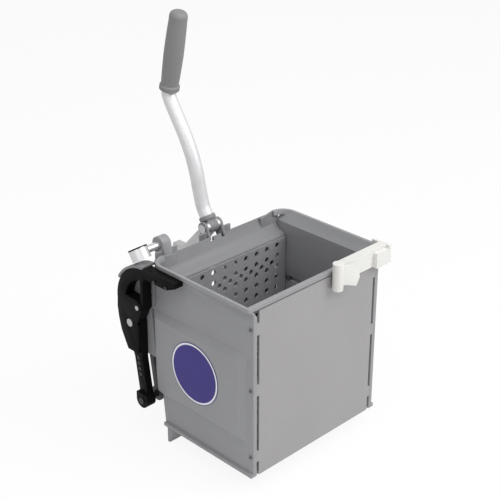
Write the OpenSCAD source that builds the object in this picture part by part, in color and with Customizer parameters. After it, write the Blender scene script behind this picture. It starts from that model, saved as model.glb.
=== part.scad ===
// Side press mop wringer: an open tub whose perforated plate is pressed forward by a bent hand lever.
// Places are measured from the panel's front (y) and the floor's underside (z); x runs from the middle.
// Every piece is then set down so that the origin is the middle of the rear foot rail's underside.

/* [Tub] */
// Width of the front panel
panel_w = 262; // [240:1:290]
// Height of the rim's top
rim_top = 305; // [300:1:310]
// Height of the rim's underside
rim_under_z = 299; // [297:0.5:300]
// How far the rim's edge stands out from the wall
rim_out = 11; // [10:0.5:13]
// Width of the rim's flat top
rim_w = 5; // [4:0.5:7]
// Gap between the panel's edge and a side wall
panel_gap = 5; // [3:0.5:6]
// Thickness of a side wall
wall_t = 7; // [6:0.5:9]
// Depth of a side wall at the floor
wall_d = 209; // [208:0.5:211]
// How far the wall's back edge leans back up to the rim
wall_lean = 27.5; // [25:0.5:30]
// Radius of the rim's back corner, seen from the side
corner_r = 6; // [4:1:12]
// Radius of the rim's back corner, seen from above
plan_r = 28; // [22:1:30]
// Middle of that corner, past the wall's back foot
corner_past = -10.5; // [-12:0.5:-10.5]
// Length over which the corner runs down to the hood's crest
corner_run = 29; // [20:1:34]
// Depth of the bead that carries the rim round the corner
bead_d = 7.5; // [6.5:0.25:8.5]
// Height of that bead
bead_h = 8; // [7:0.5:9]
// Height where the wall starts to flare inside
flare_in_z = 286; // [282:1:290]
// Thickness of the floor
floor_t = 6; // [5:0.5:8]
// Width of the lip along the foot of a wall
lip_w = 5; // [3:0.5:7]
// How far the front rim stands in front of the panel
front_rim_out = 1; // [1:0.5:3]
// Depth of the front rim bar
front_rim_d = 8; // [7:0.5:10]
// Height of the sill at the back of the floor
sill_h = 50; // [40:1:52]
// Thickness of the sill
sill_t = 4.5; // [3:0.5:4.5]
// Width of a drain slot
drain_w = 3.5; // [3:0.5:6]
// Length of a drain slot
drain_l = 150; // [120:1:160]
// Spacing of the drain slots
drain_pitch = 30; // [26:1:32]

/* [Pads and grooves] */
// How far a raised pad stands out
pad_out = 9; // [6:0.5:10]
// Width of a pad's bevel
pad_bevel = 11; // [8:0.5:12]
// Front edge of a pad's face
pad_y = 26; // [22:1:30]
// Length of a pad's face
pad_l = 192; // [180:1:194]
// Lower edge of a pad's face
pad_z = 69; // [64:1:72]
// Height of a pad's face
pad_h = 135; // [128:1:138]
// Depth of a guide groove
groove_d = 6; // [5:0.25:6]
// Height of a guide groove
groove_h = 9; // [8:0.5:11]
// Front end of the guide grooves
groove_y = 92; // [88:1:95]
// Height of the upper groove
groove_hi = 182.5; // [178:0.5:186]
// Height of the lower groove
groove_lo = 88.5; // [80:0.5:95]

/* [Foot rails] */
// Height of the foot rails
foot_h = 33; // [28:1:38]
// Middle of the rear rail's foot, past the wall's back foot
rear_foot_past = -5.5; // [-7:0.5:-4]
// Middle of the front rail's foot
front_foot_y = 62.5; // [60:0.5:66]
// Width of a rail's foot
foot_w = 5; // [4:0.5:7]
// Width of a rail where it meets the floor
foot_root_w = 17; // [14:0.5:17]
// Half length of the front rail
front_foot_half = 93; // [80:1:95]

/* [Front panel] */
// Thickness of the panel sheet
panel_t = 3; // [2:0.5:4]
// Gap between the panel's top and the rim
panel_top_gap = 3; // [2:0.5:4]
// Height of a panel tab
tab_h = 20; // [16:1:24]
// Length of a panel tab
tab_l = 14; // [10:0.5:18]
// Height of the low panel screws
first_screw_z = 36; // [30:1:45]
// Height of the middle panel screws
second_screw_z = 158; // [150:1:166]
// Height of the high panel screws
third_screw_z = 265; // [255:1:268]
// Distance of the panel screws behind the front
screw_y = 6; // [5:0.5:8]

/* [Screws] */
// Shank diameter of a screw
screw_d = 4; // [3:0.5:5]
// Head diameter of a screw
head_d = 6; // [5:0.5:8]
// Head height of a screw
head_h = 1.8; // [1.5:0.1:2.4]

/* [Press plate] */
// Gap between the press plate and a side wall
plate_gap = 2; // [1.5:0.25:4]
// Thickness of the press plate
plate_t = 3; // [2.5:0.5:3]
// Front face of the press plate, past the wall's back foot
plate_past = -9; // [-11:0.5:-9]
// Lower edge of the press plate
plate_foot_z = 12; // [9:0.5:16]
// Drop of the plate's upper edge under the hood's foot
plate_under = 1; // [1:0.25:2]
// Diameter of a hole
hole_d = 9.5; // [8:0.5:10]
// Spacing of the hole columns
hole_px = 25; // [22:0.5:26]
// Spacing of the hole rows
hole_pz = 20; // [18:0.5:21]
// Distance of the top row of holes below the plate's edge
hole_edge = 9.5; // [8:0.5:12]
// Depth of the ribs behind the plate
rib_d = 7; // [5:0.5:9]
// Thickness of the ribs behind the plate
rib_t = 4; // [3:0.5:6]
// Distance of the ribs from the middle
rib_x = 72; // [60:1:80]
// Lower end of the ribs
rib_foot_z = 56; // [54:1:70]

/* [Guide shoes] */
// Length of a shoe in its groove
shoe_l = 22; // [18:0.5:26]
// Length of a shoe's tang behind the plate
tang_w = 16; // [14:0.5:20]
// Thickness of a shoe's tang
tang_t = 8; // [6:0.5:10]
// Clearance of a shoe in its groove
shoe_gap = 0.3; // [0.25:0.05:0.5]

/* [Drive tongue] */
// Thickness of the tongue
tongue_t = 16; // [14:0.5:18]
// Wall of the tongue above and below its slot
tongue_wall = 12; // [10:0.5:12.5]
// Wall of the tongue behind its slot
tongue_rear = 11; // [9:0.5:14]
// Clearance at the ends of the drive slot
slot_end = 2.2; // [2:0.1:2.6]
// Half width of the tongue's flange
flange_half = 30; // [26:1:36]
// Thickness of the tongue's flange
flange_t = 5; // [4:0.5:6]
// Clearance in front of the drive sleeve
slot_front = 0.5; // [0.4:0.1:0.8]
// Clearance behind the drive sleeve
slot_rear = 3.3; // [3.2:0.1:4]

/* [Hood] */
// Front foot of the hood's sheet, past the wall's back foot
hood_foot_past = -6.5; // [-7:0.25:-6]
// Height of the hood's foot over the drive tongue
hood_over = 10.7; // [10.7:0.1:12]
// Crest of the hood, past the wall's back foot
crest_past = 22; // [21:0.5:22.5]
// Height of the hood's crest
crest_z = 299; // [298:0.5:300]
// Rear face of the hood's lip, past the wall's back foot
lip_past = 25; // [24.5:0.25:25]
// Lower edge of the hood's lip
lip_z = 270; // [266:0.5:271]
// Thickness of the hood's sheet
hood_t = 4; // [3.5:0.25:5]
// Gap between the hood's sheet and a side wall
hood_gap = 1.5; // [1:0.25:2]
// Half width of the gap in the lip for the drive arms
notch_half = 16; // [15.5:0.25:17]
// How far that gap reaches in front of the lip
notch_in = 1.5; // [1.5:0.1:2.5]
// Front edge of the hood's end plates, past the wall's back foot
end_past = -3; // [-3.5:0.5:1]
// Lower edge of the hood's end plates
end_z = 225; // [220:1:230]
// Thickness of the hood's end plates
end_t = 3; // [3:0.5:4]
// Distance of the hood's end screws, past the wall's back foot
hood_screw_past = 17.5; // [16:0.5:18]
// Height of the lower end screws
hood_screw_z = 246; // [244:0.5:250]
// Spacing of the end screws
hood_screw_pitch = 18; // [16:0.5:19]

/* [Lever] */
// Distance of the lever's pivot, past the wall's back foot
pivot_past = 37; // [36.5:0.25:38]
// Height of the lever's pivot
pivot_z = 310; // [309:0.5:311]
// Radius of the pivot pin
pivot_r = 5; // [4:0.25:6]
// Radius of the pivot pin's heads
pin_head_r = 8; // [7:0.25:9]
// Length of the lever's first straight
first_l = 39.5; // [36:0.5:44]
// Lean of the lever's first straight
first_lean = 32.3; // [28:0.1:36]
// Length of the lever's second straight
second_l = 86.7; // [80:0.1:94]
// Lean of the lever's second straight
second_lean = 12.6; // [8:0.1:16]
// Length of the lever's third straight
third_l = 104; // [96:0.5:112]
// Lean of the lever's third straight
third_lean = 34.1; // [30:0.1:38]
// Lean of the grip
grip_lean = -12.5; // [-16:0.1:-8]
// Bare tube below the grip
grip_gap = 12; // [10:0.5:16]
// Length of the grip
grip_l = 139; // [125:1:150]
// Radius of the lever tube
tube_r = 12; // [11:0.25:12.25]
// Wall of the lever tube
tube_wall = 2; // [1.5:0.25:3]
// Radius of the grip's collar
collar_r = 17; // [15:0.25:18]
// Radius of the grip's neck
neck_r = 14.8; // [14.3:0.1:15.5]
// Radius of the grip's belly
belly_r = 16.5; // [15:0.25:18]
// Radius of the grip's top
cap_r = 15; // [14:0.25:16]
// Radius of the hub's socket
hub_r = 14.2; // [13.8:0.1:15]
// Length of the hub's socket from the pivot
hub_l = 18.5; // [17:0.5:24]
// Floor of the hub's socket under the tube
hub_base = 1; // [0.8:0.1:1.5]
// Half depth of the hub's neck
neck_half = 9; // [8:0.25:9.5]
// Radius of the hub's cross boss
boss_r = 10.5; // [9.5:0.25:10.5]
// Half width of the hub's cross boss
boss_half = 9; // [8.5:0.25:9.5]

/* [Drive arms] */
// Thickness of a drive arm
arm_t = 4.5; // [4:0.25:4.5]
// Length of a drive arm
arm_l = 105; // [104:0.5:106]
// Angle of the drive arms behind straight down at rest
arm_rest = 40; // [38:0.5:42]
// Radius of a drive arm's upper eye
arm_eye_r = 10.5; // [10:0.25:10.5]
// Radius of a drive arm's lower eye
arm_tip_r = 11; // [10:0.25:12]
// Width of a drive arm's bar
arm_w = 14; // [12:0.5:14]
// Distance of the lock pin from the pivot
lock_l = 14; // [13:0.25:15]
// Radius of the lock pin
lock_r = 2.5; // [2:0.25:3]
// Wall of the hub round the lock pin
lock_wall = 3.5; // [3:0.25:4]
// Radius of the drive pin
drive_r = 6; // [5:0.25:6.5]
// Radius of the drive sleeve
sleeve_r = 8; // [7.5:0.25:8.5]
// Half width of the drive sleeve
sleeve_half = 7.5; // [7:0.25:8]
// How far the drive pin stands past the arms
pin_past = 3; // [2:0.5:4]

/* [Cheeks and lug] */
// Clearance between a cheek and a drive arm
cheek_gap = 0.4; // [0.3:0.05:0.6]
// Thickness of a cheek
cheek_t = 4.5; // [4:0.25:5.5]
// Radius of a cheek's eye
cheek_r = 11; // [10.75:0.25:12]
// Half width over the cheeks' feet
cheek_foot_half = 34; // [32:0.5:38]
// Thickness of the cheeks' and the lug's feet
foot_plate_t = 4; // [3.5:0.25:5]
// Lower edge of the feet
foot_plate_z = 272; // [271:0.5:273]
// Upper edge of the feet
foot_plate_top = 307; // [300:0.5:308]
// Height of the side lug's bore
lug_z = 313.5; // [312:0.5:316]
// Inner face of the side lug, from the middle
lug_in = 99; // [96:0.5:101]
// Width of the side lug
lug_w = 17; // [15:0.5:20]
// Radius of the side lug's eye
lug_r = 14; // [13:0.25:15]
// Length of the side lug's foot
lug_foot_l = 44; // [44:0.5:48]

/* [Handle socket] */
// Middle of the socket tube, from the middle of the tub
socket_x = 155; // [154:0.25:156.5]
// Outer radius of the socket tube
socket_r = 16; // [15:0.25:16.5]
// Bore radius of the socket tube
socket_bore = 13; // [12:0.25:13.5]
// Lean of the socket tube behind the vertical
socket_lean = 33; // [30:0.5:36]
// How far the socket reaches above the stub
socket_up = 6; // [5:0.5:8]
// How far the socket reaches below the stub
socket_down = 12; // [9:0.25:12]
// Radius of the stub
stub_r = 6.5; // [6:0.25:7]
// Length of the ring on the socket's mouth
ring_l = 2.4; // [2:0.2:4]

/* [Arch] */
// Middle of the arch, past the wall's back foot
arch_past = 12; // [10:0.5:14]
// Height of the arch's middle
arch_z = 226; // [224:0.5:228]
// Outer radius of the black arch
arch_out_r = 69.2; // [68:0.1:69.2]
// Inner radius of the black arch
arch_in_r = 49; // [46:0.5:52]
// Gap between the arch and its guard
guard_gap = 0.8; // [0.6:0.1:1.2]
// Thickness of the guard strip
guard_t = 4.2; // [3.5:0.1:5.4]
// Outer face of the guard strip, from the middle
guard_face = 170; // [168:0.5:172]
// Thickness of the guard's web
web_t = 6; // [5:0.25:6]
// Outer face of the black pieces, from the middle
black_face = 169; // [167:0.5:169]
// Inner face of the black bracket, from the middle
black_in = 151; // [150.5:0.25:152]
// Front end of the side bar
bar_y = 147; // [143:1:152]
// Lower edge of the side bar
bar_foot_z = 280.5; // [279:0.5:281]
// Gap between the side bar and the rim
bar_gap = 0.9; // [0.8:0.1:1.5]
// Height of the side bar's nose
bar_nose = 9; // [7:0.5:10]
// Length of the slope under the side bar's nose
bar_slope = 20; // [16:1:24]
// Rear seat of the side bar, past the wall's back foot
bar_seat_past = -14; // [-18:0.5:-12]
// Front edge of the inner limb, past the wall's back foot
limb_past = 16; // [15:0.5:17]
// Width of the inner limb
limb_w = 6; // [5:0.5:7]
// Lower end of the inner limb
limb_foot_z = 222; // [221:0.5:224]
// How far the guard's web reaches in front of the limb
web_past = 3; // [2.5:0.25:4]
// Lower edge of the guard's web
web_foot_z = 128; // [124:1:132]
// Bracket bolt, past the wall's back foot
bolt_past = 27.4; // [26:0.1:29]
// Height of the bracket bolt
bolt_z = 223.5; // [222:0.5:225]
// Radius of the bracket bolt's boss
bolt_boss_r = 10; // [9:0.25:11]
// How far that boss stands out
boss_h = 2.5; // [2:0.25:3.5]
// Radius of the bosses that seat the side bar
seat_r = 3.4; // [3:0.1:3.4]

/* [Hook arm] */
// Hook bolt, past the wall's back foot
hook_past = 50.8; // [49:0.2:52]
// Height of the hook bolt
hook_z = 186.7; // [185:0.1:188]
// Cross bolt, past the wall's back foot
cross_past = 30.3; // [29:0.1:32]
// Height of the cross bolt
cross_z = 44.6; // [40:0.2:48]
// Radius of the hook arm's knuckle
knuckle_r = 20; // [18:0.25:20]
// Thickness of the bracket's half lap at the knuckle
lap_t = 6; // [5.5:0.25:6.5]
// Radius of the hook bolt
hook_r = 6; // [5:0.25:7]
// Half width of the strap
strap_half = 10.5; // [9:0.25:11]
// Inner face of the strap, from the middle
strap_in = 149.8; // [149.6:0.1:151]
// Radius of the hook's foot
hook_foot_r = 13.5; // [12:0.25:14]
// How far the hook's foot reaches above the cross bolt
hook_foot_up = 13; // [11:0.5:16]
// Outer face of the inner strap, from the middle
inner_face = 136; // [134:0.5:137]
// Thickness of the inner strap
inner_t = 6; // [5:0.5:7]
// Radius of the inner strap's eye
inner_eye_r = 12; // [11:0.25:13]
// Half width of the inner strap
inner_half = 6; // [5:0.25:7]
// Height of the hook bolt's nut
nut_h = 4; // [3:0.5:5]
// Radius of the cross bolt
cross_r = 4; // [3.5:0.25:5]
// Radius of a strap rivet
rivet_r = 2.5; // [2:0.25:3]

/* [Rear cover] */
// Thickness of the rear cover
cover_t = 3; // [2.5:0.25:3]
// Lower edge of the rear cover
cover_foot_z = 20; // [16:1:22]
// Height where the rear cover leaves the sill
cover_knee_z = 40; // [38:1:44]
// Gap between the rear cover and the hood's parts
cover_gap = 0.5; // [0.4:0.1:1]
// Half width of the cover's gap for the drive
cover_notch = 22; // [20:0.5:26]
// Lower edge of the cover's gap for the drive
cover_notch_z = 172; // [168:1:176]
// Distance of the cover's screws from the middle
cover_screw_x = 104; // [90:1:115]

/* [Clip and label] */
// Middle of the clip's post
clip_x = 31.5; // [28:0.5:35]
// Radius of the clip's post
clip_post_r = 9; // [8:0.25:10]
// Lower end of the clip's post
clip_foot_z = 274; // [270:0.5:276]
// Upper end of the clip's post
clip_top = 320; // [316:0.5:324]
// Length of the clip's wing
wing_l = 39; // [34:0.5:42]
// Turn of the clip's wing in front of the rim
wing_turn = 18; // [14:0.5:22]
// Left end of the clip's rear lip
hold_x = 85; // [70:0.5:95]
// Left end of the clip's box
box_x = 124; // [120:0.5:130]
// Right end of the clip's box
box_end = 159; // [157:0.5:163]
// How far the clip's box stands in front of the panel
clip_out = 12; // [10:0.5:15]
// Thickness of the clip's plates
clip_t = 4; // [3.5:0.25:5]
// Lower edge of the clip's saddle
saddle_foot_z = 280; // [278:0.5:286]
// Depth of the clip's end plate behind the front
clip_back = 25; // [20:0.5:30]
// Radius of the blank label
label_r = 54; // [48:0.5:56]
// Thickness of the blank label
label_t = 0.8; // [0.6:0.1:1.2]
// Middle of the label behind the front
label_y = 123.7; // [120:0.1:130]
// Height of the label's middle
label_z = 140.8; // [136:0.1:145]

/* [Hidden] */
$fn = 48;

// Steps along an arc of an outline
arc_n = 18;
// Overrun of every cut
over = 1;
// Clearance round a fixed pin or shank
seat = 0.1;
// Clearance round a pin that something turns on
run = 0.05;

grey = [0.57, 0.57, 0.58];
pale = [0.64, 0.63, 0.64];
steel = [0.84, 0.84, 0.85];
black = [0.12, 0.12, 0.12];
dark = [0.30, 0.30, 0.31];
white = [0.95, 0.95, 0.94];
blue = [0.29, 0.27, 0.53];

crest_y = wall_d + crest_past;
lip_y = wall_d + lip_past;
hood_foot_y = wall_d + hood_foot_past;
end_y = wall_d + end_past;
hood_screw_y = wall_d + hood_screw_past;
pivot_y = wall_d + pivot_past;
arch_y = wall_d + arch_past;
limb_y = wall_d + limb_past;
bolt_y = wall_d + bolt_past;
hook_y = wall_d + hook_past;
cross_y = wall_d + cross_past;
plate_y = wall_d + plate_past;
rear_foot_y = wall_d + rear_foot_past;
half_w = panel_w/2;
wall_in = half_w + panel_gap;
wall_out = wall_in + wall_t;
plate_w = 2*(wall_in - plate_gap);
rim_edge = wall_out + rim_out;
pad_face = wall_out + pad_out;
screw_r = screw_d/2;
pivot = [pivot_y, pivot_z];
arch = [arch_y, arch_z];
bolt = [bolt_y, bolt_z];
hook = [hook_y, hook_z];
cross = [cross_y, cross_z];
lug = [pivot_y, lug_z];
screw_zs = [first_screw_z, second_screw_z, third_screw_z];

// Drive: place of the drive pin at rest, the tongue's slot and what is set over it
function arm_at(l) = pivot + l*[sin(arm_rest), -cos(arm_rest)];
drive_tip = arm_at(arm_l);
slot_top = drive_tip[1] + sleeve_r + slot_end;
slot_foot_z = pivot_z - arm_l - sleeve_r - slot_end;
slot_back = drive_tip[0] + sleeve_r + slot_rear;
tongue_top = slot_top + tongue_wall;
tongue_foot_z = slot_foot_z - tongue_wall;
tongue_end = slot_back + tongue_rear;
hood_foot_z = tongue_top + hood_over;
plate_top = hood_foot_z - plate_under;
hole_top = plate_top - hole_edge;

// Direction in the side view at an angle behind the vertical
function lean(a) = [sin(a), cos(a)];
// Points along an arc
function arc(c, r, a, b, n = arc_n) = [for (i = [0:n]) c + r*[cos(a + (b - a)*i/n),
    sin(a + (b - a)*i/n)]];
// Outline of a bar with a round end of radius r at p and of radius s at q
function bar(p, r, q, s) =
    let (t = atan2(q[1] - p[1], q[0] - p[0]), e = asin((r - s)/norm(q - p)))
    concat(arc(p, r, t + 90 - e, t + 270 + e), arc(q, s, t - 90 + e, t + 90 - e));
// Outline of a ring's sector
function sector(c, r, s, a, b) = concat(arc(c, r, a, b, 2*arc_n), arc(c, s, b, a, 2*arc_n));

module place() {
    translate([0, -rear_foot_y, foot_h]) children();
}
module both() {
    children();
    mirror([1, 0, 0]) children();
}
module box(a, b) {
    translate(a) cube(b - a);
}
// Side view outline drawn out from x0 to x1
module side(x0, x1) {
    translate([x0, 0, 0]) rotate([90, 0, 90]) linear_extrude(x1 - x0) children();
}
// Front view outline drawn out from y0 to y1
module front(y0, y1) {
    translate([0, y1, 0]) rotate([90, 0, 0]) linear_extrude(y1 - y0) children();
}
// Round bar along x at a place of the side view
module rod(p, x0, x1, r) {
    translate([x0, p[0], p[1]]) rotate([0, 90, 0]) cylinder(h = x1 - x0, r = r);
}
// Round bar along y at a place of the front view
module rod_y(p, y0, y1, r) {
    translate([p[0], y1, p[1]]) rotate([90, 0, 0]) cylinder(h = y1 - y0, r = r);
}
// Screw with a hexagon recess: its head's seat is at zero, its head on the plus side of z
module screw(l) {
    difference() {
        union() {
            cylinder(h = head_h, d = head_d);
            translate([0, 0, -l]) cylinder(h = l + head_h/2, r = screw_r);
        }
        translate([0, 0, head_h/2]) cylinder(h = head_h, r = screw_r, $fn = 6);
    }
}
module screw_right(p, x, l) {
    translate([x, p[0], p[1]]) rotate([0, 90, 0]) screw(l);
}
module screw_back(p, y, l) {
    translate([p[0], y, p[1]]) rotate([-90, 0, 0]) screw(l);
}
module screw_front(p, y, l) {
    translate([p[0], y, p[1]]) rotate([90, 0, 0]) screw(l);
}

// Tub
function edge_y(z) = wall_d + wall_lean*z/rim_top;
corner = [edge_y(rim_top - corner_r) - corner_r, rim_top - corner_r];
module wall_outline() {
    polygon(concat([[0, 0], [wall_d, 0]], arc(corner, corner_r, 0, 90), [[0, rim_top]]));
}
module wall_section() {
    polygon(concat([[wall_in, 0], [wall_in, flare_in_z], [rim_edge - rim_w, rim_top], [rim_edge,
        rim_top]],
             arc([rim_edge, rim_under_z - rim_out], rim_out, 90, 180), [[wall_out, 0]]));
}
module pad() {
    slope = pad_bevel/pad_out;
    foot = wall_out - over;
    grow = slope*(pad_out + over);
    y1 = pad_y + pad_l;
    z1 = pad_z + pad_h;
    intersection() {
        front(pad_y - grow, y1 + grow)
            polygon([[foot, pad_z - grow], [pad_face, pad_z], [pad_face, z1], [foot, z1 + grow]]);
        translate([0, 0, pad_z - grow]) linear_extrude(pad_h + 2*grow)
            polygon([[foot, pad_y - grow], [pad_face, pad_y], [pad_face, y1], [foot, y1 + grow]]);
        side(foot - over, pad_face + over) wall_outline();
    }
}
module groove(z) {
    box([wall_in - over, groove_y, z - groove_h/2], [wall_in + groove_d, wall_d + wall_lean + over,
        z + groove_h/2]);
}
module wall() {
    difference() {
        union() {
            intersection() {
                front(0, wall_d + wall_lean + over) wall_section();
                side(wall_in - over, rim_edge + over) wall_outline();
            }
            pad();
            box([wall_out - over, 0, 0], [wall_out + lip_w, wall_d, floor_t]);
        }
        groove(groove_hi);
        groove(groove_lo);
        corner_cut();
        for (z = screw_zs) rod([screw_y, z], wall_in - over, wall_out + over, screw_r + seat);
        for (z = hood_zs) rod([hood_screw_y, z], wall_in - over, wall_out + over, screw_r + seat);
    }
}
hood_zs = [hood_screw_z, hood_screw_z + hood_screw_pitch];
// Back corner of the rim: round from above, running down to the hood's crest
corner_y = wall_d + corner_past;
corner_mid = rim_edge - plan_r;
corner_n = 6;
corner_share = 0.6;
module corner_cut() {
    difference() {
        box([corner_mid, corner_y + 2*over, flare_in_z],
            [rim_edge + over, wall_d + wall_lean + over, rim_top + over]);
        translate([corner_mid, corner_y, 0]) cylinder(h = rim_top + 2*over, r = plan_r);
    }
}
module rim_corner() {
    back = corner_y + plan_r;
    difference() {
        intersection() {
            front(corner_y, back) polygon([[corner_mid - corner_run, hood_foot_z], [wall_out, hood_foot_z],
                [wall_out, rim_top], [corner_mid, rim_top], [corner_mid - corner_run, crest_z]]);
            side(corner_mid - corner_run - over, wall_out + over) polygon(concat(
                [for (i = [corner_n:hood_rest_n - 1]) hood_front[i]],
                [[back + over, rim_top], [back - corner_share*rim_w, rim_top]]));
        }
        corner_cut();
    }
    intersection() {
        translate([corner_mid, corner_y, 0]) rotate_extrude() polygon([[plan_r - bead_d, rim_top - bead_h],
            [plan_r - rim_w, rim_top], [plan_r, rim_top], [plan_r, rim_under_z]]);
        box([corner_mid - over, corner_y, 0], [rim_edge + over, back + over, rim_top + over]);
    }
}
module rail(y, w) {
    side(-w, w) polygon([[y - foot_w/2, -foot_h], [y + foot_w/2, -foot_h],
                         [y + foot_w/2, over], [y + foot_w/2 - foot_root_w, over]]);
}
seat_ys = [bar_y + bar_slope, wall_d + bar_seat_past];
seat_z = rim_under_z - rim_out - seat_r - seat;
module tub_body() {
    y0 = (wall_d - drain_l)/2;
    color(grey) place() difference() {
        union() {
            both() wall();
            both() rim_corner();
            difference() {
                box([-wall_in - over, panel_t, 0], [wall_in + over, wall_d, floor_t]);
                for (i = [-7:2:7]) box([(i*drain_pitch - drain_w)/2, y0, -over],
                    [(i*drain_pitch + drain_w)/2, y0 + drain_l, floor_t + over]);
            }
            box([-wall_in - over, wall_d - sill_t, 0], [wall_in + over, wall_d, sill_h]);
            box([-rim_edge, -front_rim_out, rim_under_z], [rim_edge, front_rim_d - front_rim_out,
                rim_top]);
            rail(rear_foot_y, wall_out);
            rail(front_foot_y, front_foot_half);
        }
        for (x = [-cover_screw_x, cover_screw_x])
            rod_y([x, cover_screw_z], wall_d - sill_t - over, wall_d + over, screw_r + seat);
        for (y = seat_ys) rod([y, seat_z], -wall_out - over, -wall_in + over, screw_r + seat);
    }
}

// Front panel
module front_panel() {
    color(pale) place() difference() {
        union() {
            box([-half_w, 0, 0], [half_w, panel_t, rim_under_z - panel_top_gap]);
            both() for (z = screw_zs) box([half_w - over, 0, z - tab_h/2], [wall_in, tab_l, z + tab_h/2]);
        }
        both() for (z = screw_zs) rod([screw_y, z], half_w - 2*over, wall_in + over, screw_r + seat);
    }
}
module panel_screws() {
    color(steel) place() both() for (z = screw_zs) screw_right([screw_y, z], wall_out,
        wall_t + panel_gap - over);
}

// Hood
hood_shares = [[0, 0], [0.03, 0.07], [0.11, 0.14], [0.25, 0.19], [0.44, 0.24], [0.61, 0.34], [0.74, 0.52],
               [0.85, 0.72], [0.94, 0.88]];
hood_front = [for (s = hood_shares) [hood_foot_y + s[0]*(crest_y - hood_foot_y),
    hood_foot_z + s[1]*(crest_z - hood_foot_z)]];
hood_skew = hood_t*[0.75, -0.65];
end_share = 0.8;
hood_back_n = len(hood_front) - 3;
// Point of the hood where the cheeks and the lug start to rest on it
hood_rest_n = len(hood_front) - 1;
module hood_outline() {
    polygon(concat(hood_front, [[crest_y, crest_z], [lip_y, crest_z - hood_t/2], [lip_y, lip_z],
        [lip_y - hood_t, lip_z],
                    [lip_y - hood_t, hood_front[hood_back_n][1]]],
                   [for (i = [hood_back_n:-1:0]) hood_front[i] + hood_skew]));
}
module end_outline() {
    polygon(concat([[end_y, end_z], [lip_y, end_z], [lip_y, lip_z], [lip_y - hood_t,
        hood_front[hood_back_n][1]]],
                   [for (i = [hood_back_n:-1:2]) hood_front[i] + end_share*hood_skew]));
}
foot_mid_z = (foot_plate_z + foot_plate_top)/2;
cheek_screw_x = cheek_foot_half - head_d*0.75;
lug_mid = lug_in + lug_w/2;
lug_screw_share = 0.38;
lug_screw_xs = [-lug_mid - lug_foot_l*lug_screw_share, -lug_mid + lug_foot_l*lug_screw_share];
module rear_hood() {
    color(grey) place() difference() {
        union() {
            side(-wall_in + hood_gap, wall_in - hood_gap) hood_outline();
            both() side(wall_in - end_t, wall_in) end_outline();
        }
        both() box([boss_half - cheek_gap, lip_y - hood_t - notch_in, lip_z - over],
                   [notch_half, lip_y + over, crest_z + over]);
        both() for (z = hood_zs) rod([hood_screw_y, z], wall_in - end_t - over, wall_in + over,
            screw_r + seat);
        for (x = [-cheek_screw_x, cheek_screw_x]) rod_y([x, foot_mid_z], lip_y - hood_t - over,
            lip_y + over, screw_r + seat);
        for (x = lug_screw_xs) rod_y([x, foot_mid_z], lip_y - hood_t - over, lip_y + over,
            screw_r + seat);
    }
}
module hood_screws() {
    color(steel) place() for (z = hood_zs) screw_right([hood_screw_y, z], wall_out, wall_t + end_t);
}

// Cheeks and side lug
cheek_in = boss_half + arm_t + cheek_gap;
cheek_out = cheek_in + cheek_t;
module cheek_outline(p, r) {
    polygon(concat([[lip_y, foot_plate_z], [lip_y + foot_plate_t, foot_plate_z]], arc(p, r, -30, 150),
                   [hood_front[hood_rest_n], [crest_y, crest_z], [lip_y, crest_z - hood_t/2]]));
}
module cheek() {
    difference() {
        union() {
            side(cheek_in, cheek_out) cheek_outline(pivot, cheek_r);
            box([cheek_in, lip_y, foot_plate_z], [cheek_foot_half, lip_y + foot_plate_t, foot_plate_top]);
        }
        rod(pivot, cheek_in - over, cheek_out + over, pivot_r + seat);
        rod_y([cheek_screw_x, foot_mid_z], lip_y - over, lip_y + foot_plate_t + over, screw_r + seat);
    }
}
module cheek_right() {
    color(grey) place() cheek();
}
module cheek_left() {
    color(grey) place() mirror([1, 0, 0]) cheek();
}
module cheek_screws() {
    color(steel) place() for (x = [-cheek_screw_x, cheek_screw_x])
        screw_back([x, foot_mid_z], lip_y + foot_plate_t, foot_plate_t + hood_t);
}
module lever_pivot_pin() {
    color(steel) place() union() {
        rod(pivot, -cheek_out - head_h, cheek_out + head_h, pivot_r);
        rod(pivot, -cheek_out - head_h, -cheek_out, pin_head_r);
        rod(pivot, cheek_out, cheek_out + head_h, pin_head_r);
    }
}
module side_lug() {
    color(grey) place() difference() {
        union() {
            side(-lug_in - lug_w, -lug_in) cheek_outline(lug, lug_r);
            box([-lug_mid - lug_foot_l/2, lip_y, foot_plate_z], [-lug_mid + lug_foot_l/2,
                lip_y + foot_plate_t, foot_plate_top]);
        }
        rod(lug, -lug_in - lug_w - over, -lug_in + over, stub_r + seat);
        for (x = lug_screw_xs) rod_y([x, foot_mid_z], lip_y - over, lip_y + foot_plate_t + over,
            screw_r + seat);
    }
}
module lug_screws() {
    color(steel) place() for (x = lug_screw_xs) screw_back([x, foot_mid_z], lip_y + foot_plate_t,
        foot_plate_t + hood_t);
}

// Handle socket: a leaning tube on a stub that sits in the side lug
module socket_frame() {
    translate([-socket_x, lug[0], lug[1]]) rotate([-socket_lean, 0, 0]) children();
}
module handle_socket() {
    color(steel) place() difference() {
        socket_frame() translate([0, 0, -socket_down]) cylinder(h = socket_up + socket_down,
            r = socket_r);
        socket_frame() translate([0, 0,
            -socket_down - over]) cylinder(h = socket_up + socket_down + 2*over, r = socket_bore);
    }
}
module socket_stub() {
    color(steel) place() difference() {
        rod(lug, -socket_x, -lug_in + over, stub_r);
        socket_frame() translate([0, 0, -socket_r]) cylinder(h = 2*socket_r, r = socket_r + seat);
    }
}
module socket_ring() {
    color(black) place() socket_frame() translate([0, 0, socket_up]) difference() {
        cylinder(h = ring_l, r = socket_r);
        translate([0, 0, -over]) cylinder(h = ring_l + 2*over, r = socket_bore + 4*seat);
    }
}

// Arch guard with its web, black bracket and their fixings
guard_r = arch_out_r + guard_gap;
guard_hi = 88;
guard_lo = 30;
web_y = limb_y - web_past;
web_top = rim_under_z - rim_out - over;
web_gap = 0.5;
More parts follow.
